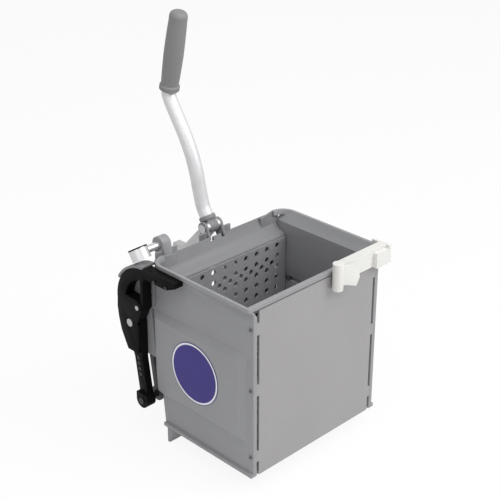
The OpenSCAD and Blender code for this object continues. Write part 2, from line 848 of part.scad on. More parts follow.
// Height where the web passes the pad
web_turn_z = pad_z + pad_h + pad_bevel + over;
module web_outline() {
    polygon(concat([[web_y, limb_foot_z + limb_w], [edge_y(web_turn_z) + web_gap, web_turn_z],
                    [edge_y(web_foot_z) + web_gap, web_foot_z], [hook_y - 2*over, web_foot_z]],
                   arc(hook, knuckle_r, 300, 360), arc(arch, guard_r + guard_t/2, guard_lo,
                       guard_hi - 12),
                   [[edge_y(flare_in_z) + over, web_top], [web_y, web_top]]));
}
module arch_guard() {
    color(grey) place() difference() {
        union() {
            side(-guard_face, -wall_out) polygon(sector(arch, guard_r + guard_t, guard_r, guard_lo,
                guard_hi));
            side(-wall_out - web_t, -wall_out) web_outline();
        }
        for (z = hood_zs) rod([hood_screw_y, z], -wall_out - web_t - over, -wall_out + over,
            screw_r + seat);
        rod(bolt, -wall_out - web_t - over, -wall_out + over, screw_r + seat);
        rod(hook, -wall_out - web_t - over, -wall_out + over, hook_r + seat);
    }
}
module guard_screws() {
    color(steel) place() mirror([1, 0, 0]) for (z = hood_zs)
        screw_right([hood_screw_y, z], wall_out + web_t, web_t + wall_t + end_t);
}
bar_top = rim_under_z - bar_gap;
bracket_end_a = -12;
module bracket_outline() {
    polygon(sector(arch, arch_out_r, arch_in_r, 90, bracket_end_a));
    polygon([[bar_y, bar_top], [bar_y, bar_top - bar_nose], [bar_y + bar_slope, bar_foot_z],
        [arch_y + over, bar_foot_z],
             [arch_y + over, bar_top]]);
    polygon([[limb_y, bar_foot_z + over], [limb_y, limb_foot_z], [limb_y + limb_w, limb_foot_z],
             [limb_y + limb_w, bar_foot_z + over]]);
    translate(bolt) circle(r = bolt_boss_r);
    polygon(bar(bolt, bolt_boss_r - over, hook, knuckle_r - 6*over));
    polygon([bolt + [0, bolt_boss_r - over], [arch_y + arch_in_r + over, arch_z + bolt_boss_r - over],
             [arch_y + arch_in_r + over, hook_z], hook]);
}
// Outline of the shield over the hook's knuckle, in shares of the knuckle's radius
shield_shares = [[0.45, 1.5], [1.5, 1.9], [1.58, 1], [1.46, 0], [1.2, -1.08], [0.79, -1.93], [0.43,
    -2.63],
                 [-0.84, -2.63], [-0.97, -1.83], [-1, 0]];
lap_x = black_face - lap_t;
lap_gap = 3;
module side_bracket() {
    color(black) place() difference() {
        union() {
            side(-black_face, -black_in) bracket_outline();
            side(-black_face, -lap_x) polygon([for (s = shield_shares) hook + knuckle_r*s]);
            rod(bolt, -black_face - boss_h, -wall_out - web_t, bolt_boss_r - over);
            for (y = seat_ys) rod([y, seat_z], -black_in - over, -wall_out, seat_r);
        }
        rod(hook, -lap_x, -black_in + over, knuckle_r + lap_gap);
        rod(hook, -black_face - over, -black_in + over, hook_r + seat);
        rod(bolt, -black_face - boss_h - over, -wall_out - web_t + over, screw_r + seat);
        for (y = seat_ys) rod([y, seat_z], -black_face - over, -wall_out + over, screw_r + seat);
    }
}
module bracket_bolt() {
    color(steel) place() union() {
        rod(bolt, -black_face - boss_h - head_h, -black_face - boss_h, head_d/2 + over);
        rod(bolt, -black_face - boss_h - over, -wall_out, screw_r);
    }
}
module bracket_rivets() {
    color(dark) place() for (y = seat_ys) union() {
        rod([y, seat_z], -black_face - head_h, -black_face, head_d/2);
        rod([y, seat_z], -black_face - over, -wall_in, screw_r);
    }
}

// Hook arm: knuckle, strap and foot, with an inner strap beside it, swinging on the hook bolt
module hook_pivot_bolt() {
    color(steel) place() union() {
        rod(hook, -black_face - head_h, -black_face, hook_r + head_h/2);
        rod(hook, -black_face - over, -inner_in + knuckle_gap + nut_h, hook_r);
        rod(hook, -inner_in + knuckle_gap, -inner_in + knuckle_gap + nut_h, hook_r + nut_h);
    }
}
knuckle_gap = 0.4;
strap_share = 0.42;
strap_top_share = 0.30;
inner_in = inner_face - inner_t;
strap_face = lap_x - knuckle_gap;
function along(s) = hook + s*(cross - hook);
module hook_arm() {
    color(black) place() difference() {
        union() {
            side(-strap_face, -strap_in) union() {
                polygon(bar(hook, knuckle_r, along(strap_share), strap_half));
                polygon(bar(along(strap_top_share), strap_half - over, cross, strap_half - over));
            }
            side(-black_face, -strap_in) polygon(concat(arc(cross, hook_foot_r, 180, 360),
                [[cross_y + hook_foot_r, cross_z + hook_foot_up], [cross_y - hook_foot_r,
                    cross_z + hook_foot_up]]));
        }
        rod(hook, -strap_face - over, -strap_in + over, hook_r + run);
        rod(cross, -black_face - over, -strap_in + over, cross_r + seat);
        for (s = rivet_shares) rod(along(s), -strap_face - over, -strap_in + over, rivet_r + seat);
    }
}
module inner_strap() {
    color(dark) place() difference() {
        side(-inner_face, -inner_in) union() {
            polygon(bar(hook, inner_eye_r, along(strap_share), inner_half));
            polygon(bar(along(strap_top_share), inner_half - over/2, cross, inner_half - over/2));
            translate(cross) circle(r = hook_foot_r);
        }
        rod(hook, -inner_face - over, -inner_in + over, hook_r + run);
        rod(cross, -inner_face - over, -inner_in + over, cross_r + seat);
    }
}
rivet_shares = [0.46, 0.53, 0.60, 0.67];
module strap_rivets() {
    color(dark) place() for (s = rivet_shares) union() {
        rod(along(s), -strap_face - over, -strap_face, rivet_r + over);
        rod(along(s), -strap_face - over/2, -strap_in - over, rivet_r);
    }
}
module hook_cross_bolt() {
    color(dark) place() union() {
        rod(cross, -black_face - head_h, -black_face, cross_r + head_h);
        rod(cross, -black_face - over, -inner_in + head_h, cross_r);
        rod(cross, -strap_in, -inner_face, cross_r + 2*over);
        rod(cross, -inner_in, -inner_in + head_h, cross_r + head_h);
    }
}
// Rear cover: closes the back behind the press plate, with a gap for the drive
cover_top = lip_z - cover_gap;
cover_half = wall_in - end_t - cover_gap;
cover_screw_z = (cover_foot_z + cover_knee_z)/2;
module rear_cover() {
    color(grey) place() difference() {
        side(-cover_half, cover_half) polygon([[wall_d, cover_foot_z], [wall_d + cover_t, cover_foot_z],
            [wall_d + cover_t, cover_knee_z], [edge_y(cover_top), cover_top],
                [edge_y(cover_top) - cover_t, cover_top],
            [wall_d, cover_knee_z]]);
        box([-cover_notch, wall_d - over, cover_notch_z], [cover_notch, wall_d + wall_lean + over,
            cover_top + over]);
        for (x = [-cover_screw_x, cover_screw_x])
            rod_y([x, cover_screw_z], wall_d - over, wall_d + cover_t + over, screw_r + seat);
    }
}
module cover_screws() {
    color(steel) place() for (x = [-cover_screw_x, cover_screw_x])
        screw_back([x, cover_screw_z], wall_d + cover_t, cover_t + sill_t);
}

// Clip on the front rim and blank label on the left pad
rim_front = -front_rim_out;
// Outline of the clip's wing, in shares of its length and of the post's height
wing_shares = [[0, 0.87], [0.85, 0.85], [1, 0.33], [0.85, 0], [0.36, 0.13], [0, 0.13]];
module handle_clip() {
    back = front_rim_d - front_rim_out;
    post_y = rim_front - clip_post_r - seat;
    post_h = clip_top - clip_foot_z;
    color(white) place() union() {
        translate([clip_x, post_y, clip_foot_z]) cylinder(h = post_h, r = clip_post_r);
        translate([clip_x, post_y, clip_foot_z]) rotate([0, 0, -wing_turn]) front(-clip_t/2, clip_t/2)
            polygon([for (s = wing_shares) [s[0]*wing_l, s[1]*post_h]]);
        box([clip_x, rim_front - clip_t, saddle_foot_z], [box_end, rim_front, rim_top + clip_t]);
        box([clip_x + wing_l/2, rim_front - over, rim_top], [box_end, back + clip_t, rim_top + clip_t]);
        box([hold_x, back, rim_under_z], [box_x, back + clip_t, rim_top + over]);
        box([box_x, -clip_out, clip_foot_z + clip_t], [box_end, rim_front, rim_top - over]);
        box([rim_edge + seat, -clip_out, clip_foot_z + clip_t], [box_end, clip_back, rim_top + clip_t]);
    }
}
module label_disc() {
    color(blue) place() rod([label_y, label_z], -pad_face - label_t, -pad_face, label_r);
}

// Lever
// Foot of the hub's socket, clear of the cheeks' eyes
hub_foot = cheek_r + cheek_gap;
hub_floor = hub_foot + hub_base;
dir_1 = lean(first_lean);
bend_1 = pivot + first_l*dir_1;
bend_2 = bend_1 + second_l*lean(second_lean);
bend_3 = bend_2 + third_l*lean(third_lean);
grip_dir = lean(grip_lean);
grip_foot = bend_3 + grip_gap*grip_dir;
tube_end = grip_foot + (grip_l - tube_r)*grip_dir;
tube_line = [pivot + (hub_floor + seat)*dir_1, pivot + hub_l*dir_1, bend_1, bend_2, bend_3,
             grip_foot - grip_gap/4*grip_dir, grip_foot, tube_end];
near_share = 0.75;
function smooth(p) = concat([p[0]], [for (i = [0:len(p) - 2]) each
    [near_share*p[i] + (1 - near_share)*p[i + 1], (1 - near_share)*p[i] + near_share*p[i + 1]]],
        [p[len(p) - 1]]);
tube_path = smooth(smooth(tube_line));
tube_n = 24;
function ring(i, r) =
    let (n = len(tube_path) - 1, d = tube_path[min(i + 1, n)] - tube_path[max(i - 1, 0)], u = d/norm(d))
    [for (k = [0:tube_n - 1]) let (a = 360*k/tube_n)
        [r*cos(a), tube_path[i][0] - r*sin(a)*u[1], tube_path[i][1] + r*sin(a)*u[0]]];
module lever_tube() {
    m = len(tube_path);
    inner = m*tube_n;
    points = concat([for (i = [0:m - 1]) each ring(i, tube_r)], [for (i = [0:m - 1]) each ring(i,
        tube_r - tube_wall)]);
    function id(i, k) = i*tube_n + k % tube_n;
    walls = [for (i = [0:m - 2], k = [0:tube_n - 1]) each
        [[id(i, k), id(i, k + 1), id(i + 1, k + 1)], [id(i, k), id(i + 1, k + 1), id(i + 1, k)],
         [inner + id(i, k), inner + id(i + 1, k + 1), inner + id(i, k + 1)],
         [inner + id(i, k), inner + id(i + 1, k), inner + id(i + 1, k + 1)]]];
    foot = [for (k = [0:tube_n - 1]) each
        [[id(0, k), inner + id(0, k + 1), id(0, k + 1)], [id(0, k), inner + id(0, k), inner + id(0,
            k + 1)]]];
    head = [for (k = [0:tube_n - 1]) each
        [[id(m - 1, k), id(m - 1, k + 1), inner + id(m - 1, k + 1)],
         [id(m - 1, k), inner + id(m - 1, k + 1), inner + id(m - 1, k)]]];
    color(steel) place() polyhedron(points, concat(walls, foot, head));
}
// Heights along the grip as shares of its length, with the radius at each
grip_shares = [0.055, 0.075, 0.16, 0.30, 0.45, 0.60, 0.75, 0.88, 0.93];
grip_radii = [collar_r, neck_r, neck_r + (belly_r - neck_r)/3, belly_r - over/2, belly_r,
    belly_r - over/4,
              (belly_r + cap_r)/2, cap_r, cap_r];
tube_bore = tube_r + 3*seat;
module lever_grip() {
    round = cap_r*0.6;
    cap = grip_l - round;
    color(dark) place() translate([0, grip_foot[0], grip_foot[1]]) rotate([-grip_lean, 0,
        0]) difference() {
        rotate_extrude() polygon(concat([[0, 0], [collar_r - over, 0], [collar_r, over]],
            [for (i = [0:len(grip_shares) - 1]) [grip_radii[i], grip_shares[i]*grip_l]],
            arc([cap_r - round, cap], round, 0, 90, arc_n/2), [[0, grip_l]]));
        translate([0, 0, -over]) cylinder(h = grip_l - tube_r + over + seat, r = tube_bore);
    }
}
module lever_frame() {
    translate([0, pivot[0], pivot[1]]) rotate([-first_lean, 0, 0]) children();
}
module lever_hub() {
    color(grey) place() difference() {
        union() {
            lever_frame() translate([0, 0, hub_foot]) cylinder(h = hub_l - hub_foot, r = hub_r);
            lever_frame() box([-boss_half, -neck_half, 0], [boss_half, neck_half, hub_floor]);
            rod(pivot, -boss_half, boss_half, boss_r);
            side(-boss_half, boss_half) polygon(bar(pivot, boss_r - over, arm_at(lock_l),
                lock_r + lock_wall));
        }
        lever_frame() translate([0, 0, hub_floor]) cylinder(h = hub_l, r = tube_r + seat + run);
        rod(pivot, -boss_half - over, boss_half + over, pivot_r + run);
        rod(arm_at(lock_l), -boss_half - over, boss_half + over, lock_r + run);
    }
}
module drive_arm() {
    difference() {
        side(boss_half, boss_half + arm_t) union() {
            polygon(bar(pivot, arm_eye_r, arm_at(2*arm_eye_r), arm_w/2 - over));
            polygon(bar(arm_at(arm_eye_r), arm_w/2, arm_at(arm_l), arm_tip_r));
        }
        rod(pivot, boss_half - over, boss_half + arm_t + over, pivot_r + run);
        rod(arm_at(lock_l), boss_half - over, boss_half + arm_t + over, lock_r + run);
        rod(arm_at(arm_l), boss_half - over, boss_half + arm_t + over, drive_r + seat);
    }
}
module drive_arm_right() {
    color(steel) place() drive_arm();
}
module drive_arm_left() {
    color(steel) place() mirror([1, 0, 0]) drive_arm();
}
module arm_lock_pin() {
    color(dark) place() rod(arm_at(lock_l), -boss_half - arm_t, boss_half + arm_t, lock_r);
}
module drive_pin() {
    color(steel) place() union() {
        rod(arm_at(arm_l), -boss_half - arm_t - pin_past, boss_half + arm_t + pin_past, drive_r);
        both() rod(arm_at(arm_l), boss_half + arm_t, boss_half + arm_t + pin_past, drive_r + 2*over);
    }
}
module drive_sleeve() {
    color(dark) place() difference() {
        rod(arm_at(arm_l), -sleeve_half, sleeve_half, sleeve_r);
        rod(arm_at(arm_l), -sleeve_half - over, sleeve_half + over, drive_r + run);
    }
}

// Press plate, its tongue and its shoes
col_n = floor((plate_w - hole_d)/hole_px);
row_n = floor((hole_top - plate_foot_z)/hole_pz);
extra_z = hole_top - 1.5*hole_pz;
plate_back = plate_y + plate_t;
tongue_zs = [tongue_foot_z + head_d, tongue_top - head_d];
tongue_screw_x = flange_half - head_d;
shoe_x = plate_w/2 - tang_w/2;
module press_plate() {
    color(pale) place() difference() {
        union() {
            box([-plate_w/2, plate_y, plate_foot_z], [plate_w/2, plate_back, plate_top]);
            both() box([rib_x - rib_t/2, plate_back - over, rib_foot_z], [rib_x + rib_t/2,
                plate_back + rib_d, plate_top - rib_t]);
        }
        for (i = [0:col_n - 1], j = [0:row_n - 1])
            rod_y([(i - (col_n - 1)/2)*hole_px, hole_top - j*hole_pz], plate_y - over,
                plate_back + over, hole_d/2);
        for (i = [0:col_n - 2])
            rod_y([(i - (col_n - 2)/2)*hole_px, extra_z], plate_y - over, plate_back + over, hole_d/2);
    }
}
module drive_tongue() {
    color(steel) place() difference() {
        union() {
            box([-tongue_t/2, plate_back, tongue_foot_z], [tongue_t/2, tongue_end, tongue_top]);
            box([-flange_half, plate_back, tongue_foot_z], [flange_half, plate_back + flange_t,
                tongue_top]);
        }
        box([-tongue_t, drive_tip[0] - sleeve_r - slot_front, slot_foot_z], [tongue_t, slot_back,
            slot_top]);
        box([-tongue_t, plate_back + 4*flange_t, tongue_foot_z + 3*head_h], [tongue_t,
            drive_tip[0] - 3*sleeve_r, tongue_top - 3*head_h]);
    }
}
module tongue_screws() {
    color(steel) place() both() for (z = tongue_zs) translate([tongue_screw_x, plate_back + flange_t, z])
        rotate([-90, 0, 0]) cylinder(h = head_h, d = head_d);
}
module shoe(z) {
    h = groove_h - 2*shoe_gap;
    mid = plate_back - plate_t/2;
    union() {
        box([plate_w/2 - tang_w, plate_back, z - h/2], [plate_w/2 + over, plate_back + tang_t, z + h/2]);
        box([plate_w/2, mid - shoe_l/2, z - h/2], [wall_in + groove_d - 2*shoe_gap, mid + shoe_l/2,
            z + h/2]);
    }
}
module shoe_upper_right() {
    color(dark) place() shoe(groove_hi);
}
module shoe_upper_left() {
    color(dark) place() mirror([1, 0, 0]) shoe(groove_hi);
}
module shoe_lower_right() {
    color(dark) place() shoe(groove_lo);
}
module shoe_lower_left() {
    color(dark) place() mirror([1, 0, 0]) shoe(groove_lo);
}
module shoe_screws() {
    color(steel) place() both() for (z = [groove_hi, groove_lo])
        translate([shoe_x, plate_back + tang_t, z]) rotate([-90, 0, 0]) cylinder(h = head_h, d = head_d);
}

tub_body();
front_panel();
panel_screws();
rear_hood();
hood_screws();
cheek_left();
cheek_right();
cheek_screws();
lever_pivot_pin();
side_lug();
lug_screws();
handle_socket();
socket_stub();
socket_ring();
arch_guard();
guard_screws();
side_bracket();
bracket_bolt();
bracket_rivets();
hook_pivot_bolt();
rear_cover();
cover_screws();
handle_clip();
label_disc();
lever_tube();
lever_grip();
lever_hub();
drive_arm_left();
drive_arm_right();
arm_lock_pin();
drive_pin();
drive_sleeve();
press_plate();
drive_tongue();
tongue_screws();
shoe_upper_left();
shoe_upper_right();
shoe_lower_left();
shoe_lower_right();
shoe_screws();
hook_arm();
inner_strap();
strap_rivets();
hook_cross_bolt();
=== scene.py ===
import math

import bmesh
import bpy
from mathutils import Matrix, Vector


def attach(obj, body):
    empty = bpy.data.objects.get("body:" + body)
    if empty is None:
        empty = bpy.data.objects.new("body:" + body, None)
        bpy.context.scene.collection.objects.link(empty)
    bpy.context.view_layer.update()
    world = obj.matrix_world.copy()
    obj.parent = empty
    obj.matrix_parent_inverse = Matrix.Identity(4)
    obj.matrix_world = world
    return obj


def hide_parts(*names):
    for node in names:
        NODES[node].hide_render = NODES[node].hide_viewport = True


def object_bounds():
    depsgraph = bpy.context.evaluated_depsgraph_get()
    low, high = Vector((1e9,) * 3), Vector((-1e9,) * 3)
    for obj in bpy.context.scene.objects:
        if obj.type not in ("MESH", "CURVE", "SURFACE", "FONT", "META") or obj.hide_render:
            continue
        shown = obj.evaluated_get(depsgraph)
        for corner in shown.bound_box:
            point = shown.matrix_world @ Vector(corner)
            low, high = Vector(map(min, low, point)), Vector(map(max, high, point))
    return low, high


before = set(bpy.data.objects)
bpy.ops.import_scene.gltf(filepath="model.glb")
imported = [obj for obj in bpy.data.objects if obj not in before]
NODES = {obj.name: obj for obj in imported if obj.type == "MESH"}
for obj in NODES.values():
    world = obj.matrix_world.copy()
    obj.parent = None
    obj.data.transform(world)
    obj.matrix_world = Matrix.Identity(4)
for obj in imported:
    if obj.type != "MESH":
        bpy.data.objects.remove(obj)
cad_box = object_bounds()

# Places in the row frame, in metres, from the panel's front (y) and the floor's underside (z) in millimetres
REAR_FOOT_Y = 203.5
FOOT_H = 33.0


def at(x, y, z):
    return Vector((x, y - REAR_FOOT_Y, z + FOOT_H)) * 0.001


# Shader maths


class Shade:
    """A shader value or colour that Python operators work on."""

    def __init__(self, mat, socket):
        self.mat = mat
        self.socket = socket

    def _math(self, op, a, b):
        return self.mat.node("ShaderNodeMath", {"operation": op}, [a, b])

    def __add__(self, other):
        return self._math("ADD", self, other)

    def __radd__(self, other):
        return self._math("ADD", other, self)

    def __sub__(self, other):
        return self._math("SUBTRACT", self, other)

    def __rsub__(self, other):
        return self._math("SUBTRACT", other, self)

    def __mul__(self, other):
        return self._math("MULTIPLY", self, other)

    def __rmul__(self, other):
        return self._math("MULTIPLY", other, self)


class ShaderTree:
    """A node tree: every node but the Math ones of an expression comes from its one method."""

    def __init__(self, tree):
        self.tree = tree

    def node(self, kind, settings, inputs, out=0):
        made = self.tree.nodes.new(kind)
        for key, value in settings.items():
            setattr(made, key, value)
        pairs = inputs.items() if isinstance(inputs, dict) else enumerate(inputs)
        for key, value in pairs:
            if isinstance(value, Shade):
                self.tree.links.new(value.socket, made.inputs[key])
            else:
                made.inputs[key].default_value = value
        return Shade(self, made.outputs[out])

    def to_surface(self, shader):
        end = next(n for n in self.tree.nodes if n.type in ("OUTPUT_MATERIAL", "OUTPUT_WORLD"))
        self.tree.links.new(shader.socket, end.inputs["Surface"])

    def seen(self):
        """One for the rays that show the backdrop: straight from the camera, mirrored or let through."""
        camera, glossy, through = (self.node("ShaderNodeLightPath", {}, [], name)
                                   for name in ("Is Camera Ray", "Is Glossy Ray", "Is Transmission Ray"))
        clamped = {"operation": "ADD", "use_clamp": True}
        direct = self.node("ShaderNodeMath", clamped, [camera, glossy])
        return self.node("ShaderNodeMath", clamped, [direct, through])


class Finish(ShaderTree):
    """One procedural material: its nodes, and the Principled shader that they feed."""

    def __init__(self, name):
        self.material = bpy.data.materials.new(name)
        self.material.use_nodes = True
        super().__init__(self.material.node_tree)
        self.shader = next(n for n in self.tree.nodes if n.type == "BSDF_PRINCIPLED")
        self.place = self.node("ShaderNodeTexCoord", {}, [], "Object")

    def noise(self, scale, detail=4.0, rough=0.55, stretch=(1, 1, 1)):
        spot = self.node("ShaderNodeMapping", {}, {"Vector": self.place, "Scale": stretch})
        return self.node("ShaderNodeTexNoise", {},
                         {"Vector": spot, "Scale": scale, "Detail": detail, "Roughness": rough}, "Fac")

    def band(self, value, lo, hi, to_lo=0.0, to_hi=1.0):
        return self.node("ShaderNodeMapRange", {"clamp": True}, [value, lo, hi, to_lo, to_hi])

    def mix(self, factor, a, b):
        return self.node("ShaderNodeMix", {"data_type": "RGBA"}, {0: factor, 6: a, 7: b}, 2)

    def feed(self, **sockets):
        for key, value in sockets.items():
            spot = self.shader.inputs[key.replace("_", " ")]
            if isinstance(value, Shade):
                self.tree.links.new(value.socket, spot)
            else:
                spot.default_value = value
        return self

    def bump(self, height, strength, distance):
        return self.node("ShaderNodeBump", {},
                         {"Height": height, "Strength": strength, "Distance": distance}, "Normal")


def tint(colour, k):
    return tuple(min(1.0, c * k) for c in colour[:3]) + (1.0,)


def moulded(name, colour, rough, grain=1400.0, depth=0.00012, scuff=0.12, shine=0.5):
    """Moulded plastic: cloudy colour, fine grain and faint scuffs."""
    f = Finish(name)
    cloud = f.noise(9.0, 5.0, 0.6)
    fine = f.noise(grain, 2.0, 0.5)
    rub = f.band(f.noise(60.0, 6.0, 0.7, (1.0, 1.0, 0.35)), 0.60, 0.78)
    base = f.mix(f.band(cloud, 0.3, 0.7), tint(colour, 0.94), tint(colour, 1.06))
    base = f.mix(f.band(fine, 0.35, 0.65) * 0.35, base, tint(colour, 0.88))
    base = f.mix(rub * scuff, base, tint(colour, 1.45))
    f.feed(Base_Color=base, Roughness=rough + (cloud - 0.5) * 0.16 + rub * 0.08, Specular_IOR_Level=shine,
           Normal=f.bump(fine, 0.25, depth))
    return f.material


def coated_sheet(name, colour, rough):
    """Coated sheet metal: faint vertical rolling lines, cloudy colour and small nicks."""
    f = Finish(name)
    roll = f.noise(900.0, 3.0, 0.5, (1.0, 1.0, 0.03))
    cloud = f.noise(7.0, 4.0, 0.6)
    nick = f.band(f.noise(160.0, 2.0, 0.5), 0.70, 0.76)
    base = f.mix(f.band(cloud, 0.3, 0.7), tint(colour, 0.96), tint(colour, 1.04))
    base = f.mix(f.band(roll, 0.3, 0.7) * 0.5, base, tint(colour, 0.95))
    base = f.mix(nick * 0.25, base, tint(colour, 0.7))
    f.feed(Base_Color=base, Metallic=0.0, Roughness=rough + (roll - 0.5) * 0.12,
           Normal=f.bump(roll, 0.12, 0.0001))
    return f.material


def bright_metal(name, colour, rough, metallic=1.0):
    """Plated steel: fine drawing lines, soft spots and a few dull patches."""
    f = Finish(name)
    lines = f.noise(1600.0, 3.0, 0.5, (1.0, 1.0, 0.05))
    dull = f.band(f.noise(35.0, 5.0, 0.65), 0.45, 0.75)
    base = f.mix(dull * 0.5, colour, tint(colour, 0.82))
    base = f.mix(f.band(lines, 0.3, 0.7) * 0.25, base, tint(colour, 0.86))
    f.feed(Base_Color=base, Metallic=metallic, Roughness=rough + dull * 0.12 + (lines - 0.5) * 0.1,
           Normal=f.bump(lines, 0.10, 0.00006))
    return f.material


def soft_grip(name, colour):
    """Soft grip: matt, with a fine leathery grain."""
    f = Finish(name)
    cell = f.node("ShaderNodeTexVoronoi", {}, {"Vector": f.place, "Scale": 900.0}, "Distance")
    cloud = f.noise(22.0, 4.0, 0.6)
    base = f.mix(f.band(cloud, 0.3, 0.7), tint(colour, 0.92), tint(colour, 1.08))
    base = f.mix(f.band(cell, 0.0, 0.5) * 0.3, tint(colour, 0.85), base)
    f.feed(Base_Color=base, Roughness=0.62 + (cloud - 0.5) * 0.14, Normal=f.bump(cell, 0.3, 0.00015))
    return f.material


def blank_label(name, colour, edge, middle, radius):
    """Blank printed film: a plain field with a pale ring at its edge."""
    f = Finish(name)
    dy = f.node("ShaderNodeSeparateXYZ", {}, [f.place], "Y") - middle.y
    dz = f.node("ShaderNodeSeparateXYZ", {}, [f.place], "Z") - middle.z
    away = f.node("ShaderNodeMath", {"operation": "SQRT"}, [dy * dy + dz * dz])
    ring = f.band(away, radius * 0.915, radius * 0.93)
    rim = f.band(away, radius * 0.975, radius * 0.985)
    cloud = f.noise(14.0, 4.0, 0.6)
    fine = f.noise(1200.0, 2.0, 0.5)
    field = f.mix(f.band(cloud, 0.3, 0.7), tint(colour, 0.94), tint(colour, 1.06))
    base = f.mix(ring, field, edge)
    base = f.mix(rim, base, field)
    f.feed(Base_Color=base, Roughness=0.40 + (cloud - 0.5) * 0.1, Specular_IOR_Level=0.2,
           Normal=f.bump(fine, 0.06, 0.00004))
    return f.material


GREY = (0.285, 0.287, 0.298, 1)
PANEL = (0.308, 0.300, 0.303, 1)
TUBE = (0.66, 0.66, 0.67, 1)
SOCKET = (0.62, 0.62, 0.63, 1)
ZINC = (0.56, 0.56, 0.57, 1)
BLACK = (0.005, 0.005, 0.0055, 1)
DARK_AND_STRAP_SHADE = (0.085, 0.085, 0.09, 1)
GRIP = (0.235, 0.235, 0.24, 1)
SOOT = (0.025, 0.025, 0.027, 1)
CLIP = (0.72, 0.715, 0.69, 1)
BLUE = (0.042, 0.032, 0.205, 1)
RING = (0.80, 0.80, 0.82, 1)
PALE_FLOOR = (0.93, 0.93, 0.93, 1)
PLAIN_WHITE = (1, 1, 1, 1)

LABEL_MIDDLE = at(0, 123.7, 140.8)
LABEL_R = 0.054

tub_finish = moulded("tub_plastic_grey", GREY, 0.48, shine=0.4)
hood_finish = moulded("hood_plastic_grey", tint(GREY, 0.79), 0.50, shine=0.35)
panel_finish = coated_sheet("front_panel_grey", PANEL, 0.42)
press_finish = coated_sheet("press_plate_grey", tint(GREY, 1.02), 0.44)
tube_finish = bright_metal("lever_tube_silver", TUBE, 0.40, 0.45)
socket_finish = bright_metal("socket_bright_plate", SOCKET, 0.30, 0.75)
# Panel screws: zinc darkened to about a third, so that the heads show as small dark spots
darkened_screw_finish = bright_metal("darkened_panel_screw", tint(ZINC, 0.35), 0.42, 0.7)
screw_finish = bright_metal("screw_zinc", tint(ZINC, 0.8), 0.34)
plate_finish = bright_metal("drive_plate_zinc", tint(ZINC, 0.85), 0.38)
dark_finish = bright_metal("blackened_steel", SOOT, 0.42, 0.4)
black_finish = moulded("black_plastic", BLACK, 0.46, 1100.0, 0.00014, 0.05, 0.05)
# Dark plastic for the shoes; on the inner strap this dark is painted shade, for a tub-grey strap that sits in
# shadow
shoe_and_shaded_strap_finish = moulded("dark_plastic", DARK_AND_STRAP_SHADE, 0.45, shine=0.3)
grip_finish = soft_grip("grip_grey", GRIP)
clip_finish = moulded("white_plastic", CLIP, 0.32, 1500.0, 0.00006, 0.0)
label_finish = blank_label("label_blue", BLUE, RING, LABEL_MIDDLE, LABEL_R)

FINISHES = {
    tub_finish: ["tub_body", "side_lug"],
    hood_finish: ["rear_hood", "cheek_left", "cheek_right", "arch_guard", "lever_hub", "rear_cover"],
    panel_finish: ["front_panel"],
    press_finish: ["press_plate"],
    tube_finish: ["lever_tube"],
    socket_finish: ["handle_socket", "socket_stub"],
    screw_finish: ["hood_screws", "cheek_screws", "lug_screws", "guard_screws", "cover_screws",
                   "bracket_bolt", "lever_pivot_pin", "hook_pivot_bolt", "drive_pin", "tongue_screws",
                   "shoe_screws"],
    darkened_screw_finish: ["panel_screws"],
    plate_finish: ["drive_arm_left", "drive_arm_right", "drive_tongue"],
    dark_finish: ["arm_lock_pin", "drive_sleeve", "bracket_rivets", "strap_rivets", "hook_cross_bolt"],
    black_finish: ["side_bracket", "hook_arm", "socket_ring"],
    # inner_strap takes this dark as painted shade; the shoes take it as their dark plastic
    shoe_and_shaded_strap_finish: ["inner_strap", "shoe_upper_left", "shoe_upper_right", "shoe_lower_left",
                  "shoe_lower_right"],
    grip_finish: ["lever_grip"],
    clip_finish: ["handle_clip"],
    label_finish: ["label_disc"],
}
finish_of = {}
for finish, names in FINISHES.items():
    for name in names:
        finish_of[name] = finish
        mesh = NODES[name].data
        mesh.materials.clear()
        mesh.materials.append(finish)

# Pieces that stand for CAD nodes


def link(name, mesh, body, node):
    made = bpy.data.objects.new(name, mesh)
    bpy.context.scene.collection.objects.link(made)
    made.data.materials.clear()
    made.data.materials.append(finish_of[node])
    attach(made, body)
    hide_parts(node)
    return made


WELD = 1e-6
FLAT_DEG = 1.0
SHARP_DEG = 28.0


def eased(node, body, width, steps=3):
    """The node's own shape with its edges eased, as a moulding or a deburred plate has."""
    bm = bmesh.new()
    bm.from_mesh(NODES[node].data)
    bmesh.ops.remove_doubles(bm, verts=bm.verts, dist=WELD)
    bmesh.ops.dissolve_limit(bm, angle_limit=math.radians(FLAT_DEG), verts=bm.verts, edges=bm.edges)
    bmesh.ops.recalc_face_normals(bm, faces=bm.faces)
    mesh = bpy.data.meshes.new(node + "_eased")
    bm.to_mesh(mesh)
    bm.free()
    for face in mesh.polygons:
        face.use_smooth = True
    made = link(node + "_eased", mesh, body, node)
    bevel = made.modifiers.new("edges", "BEVEL")
    bevel.width = width
    bevel.segments = steps
    bevel.limit_method = "ANGLE"
    bevel.angle_limit = math.radians(SHARP_DEG)
    bevel.use_clamp_overlap = True
    bevel.harden_normals = True
    return made


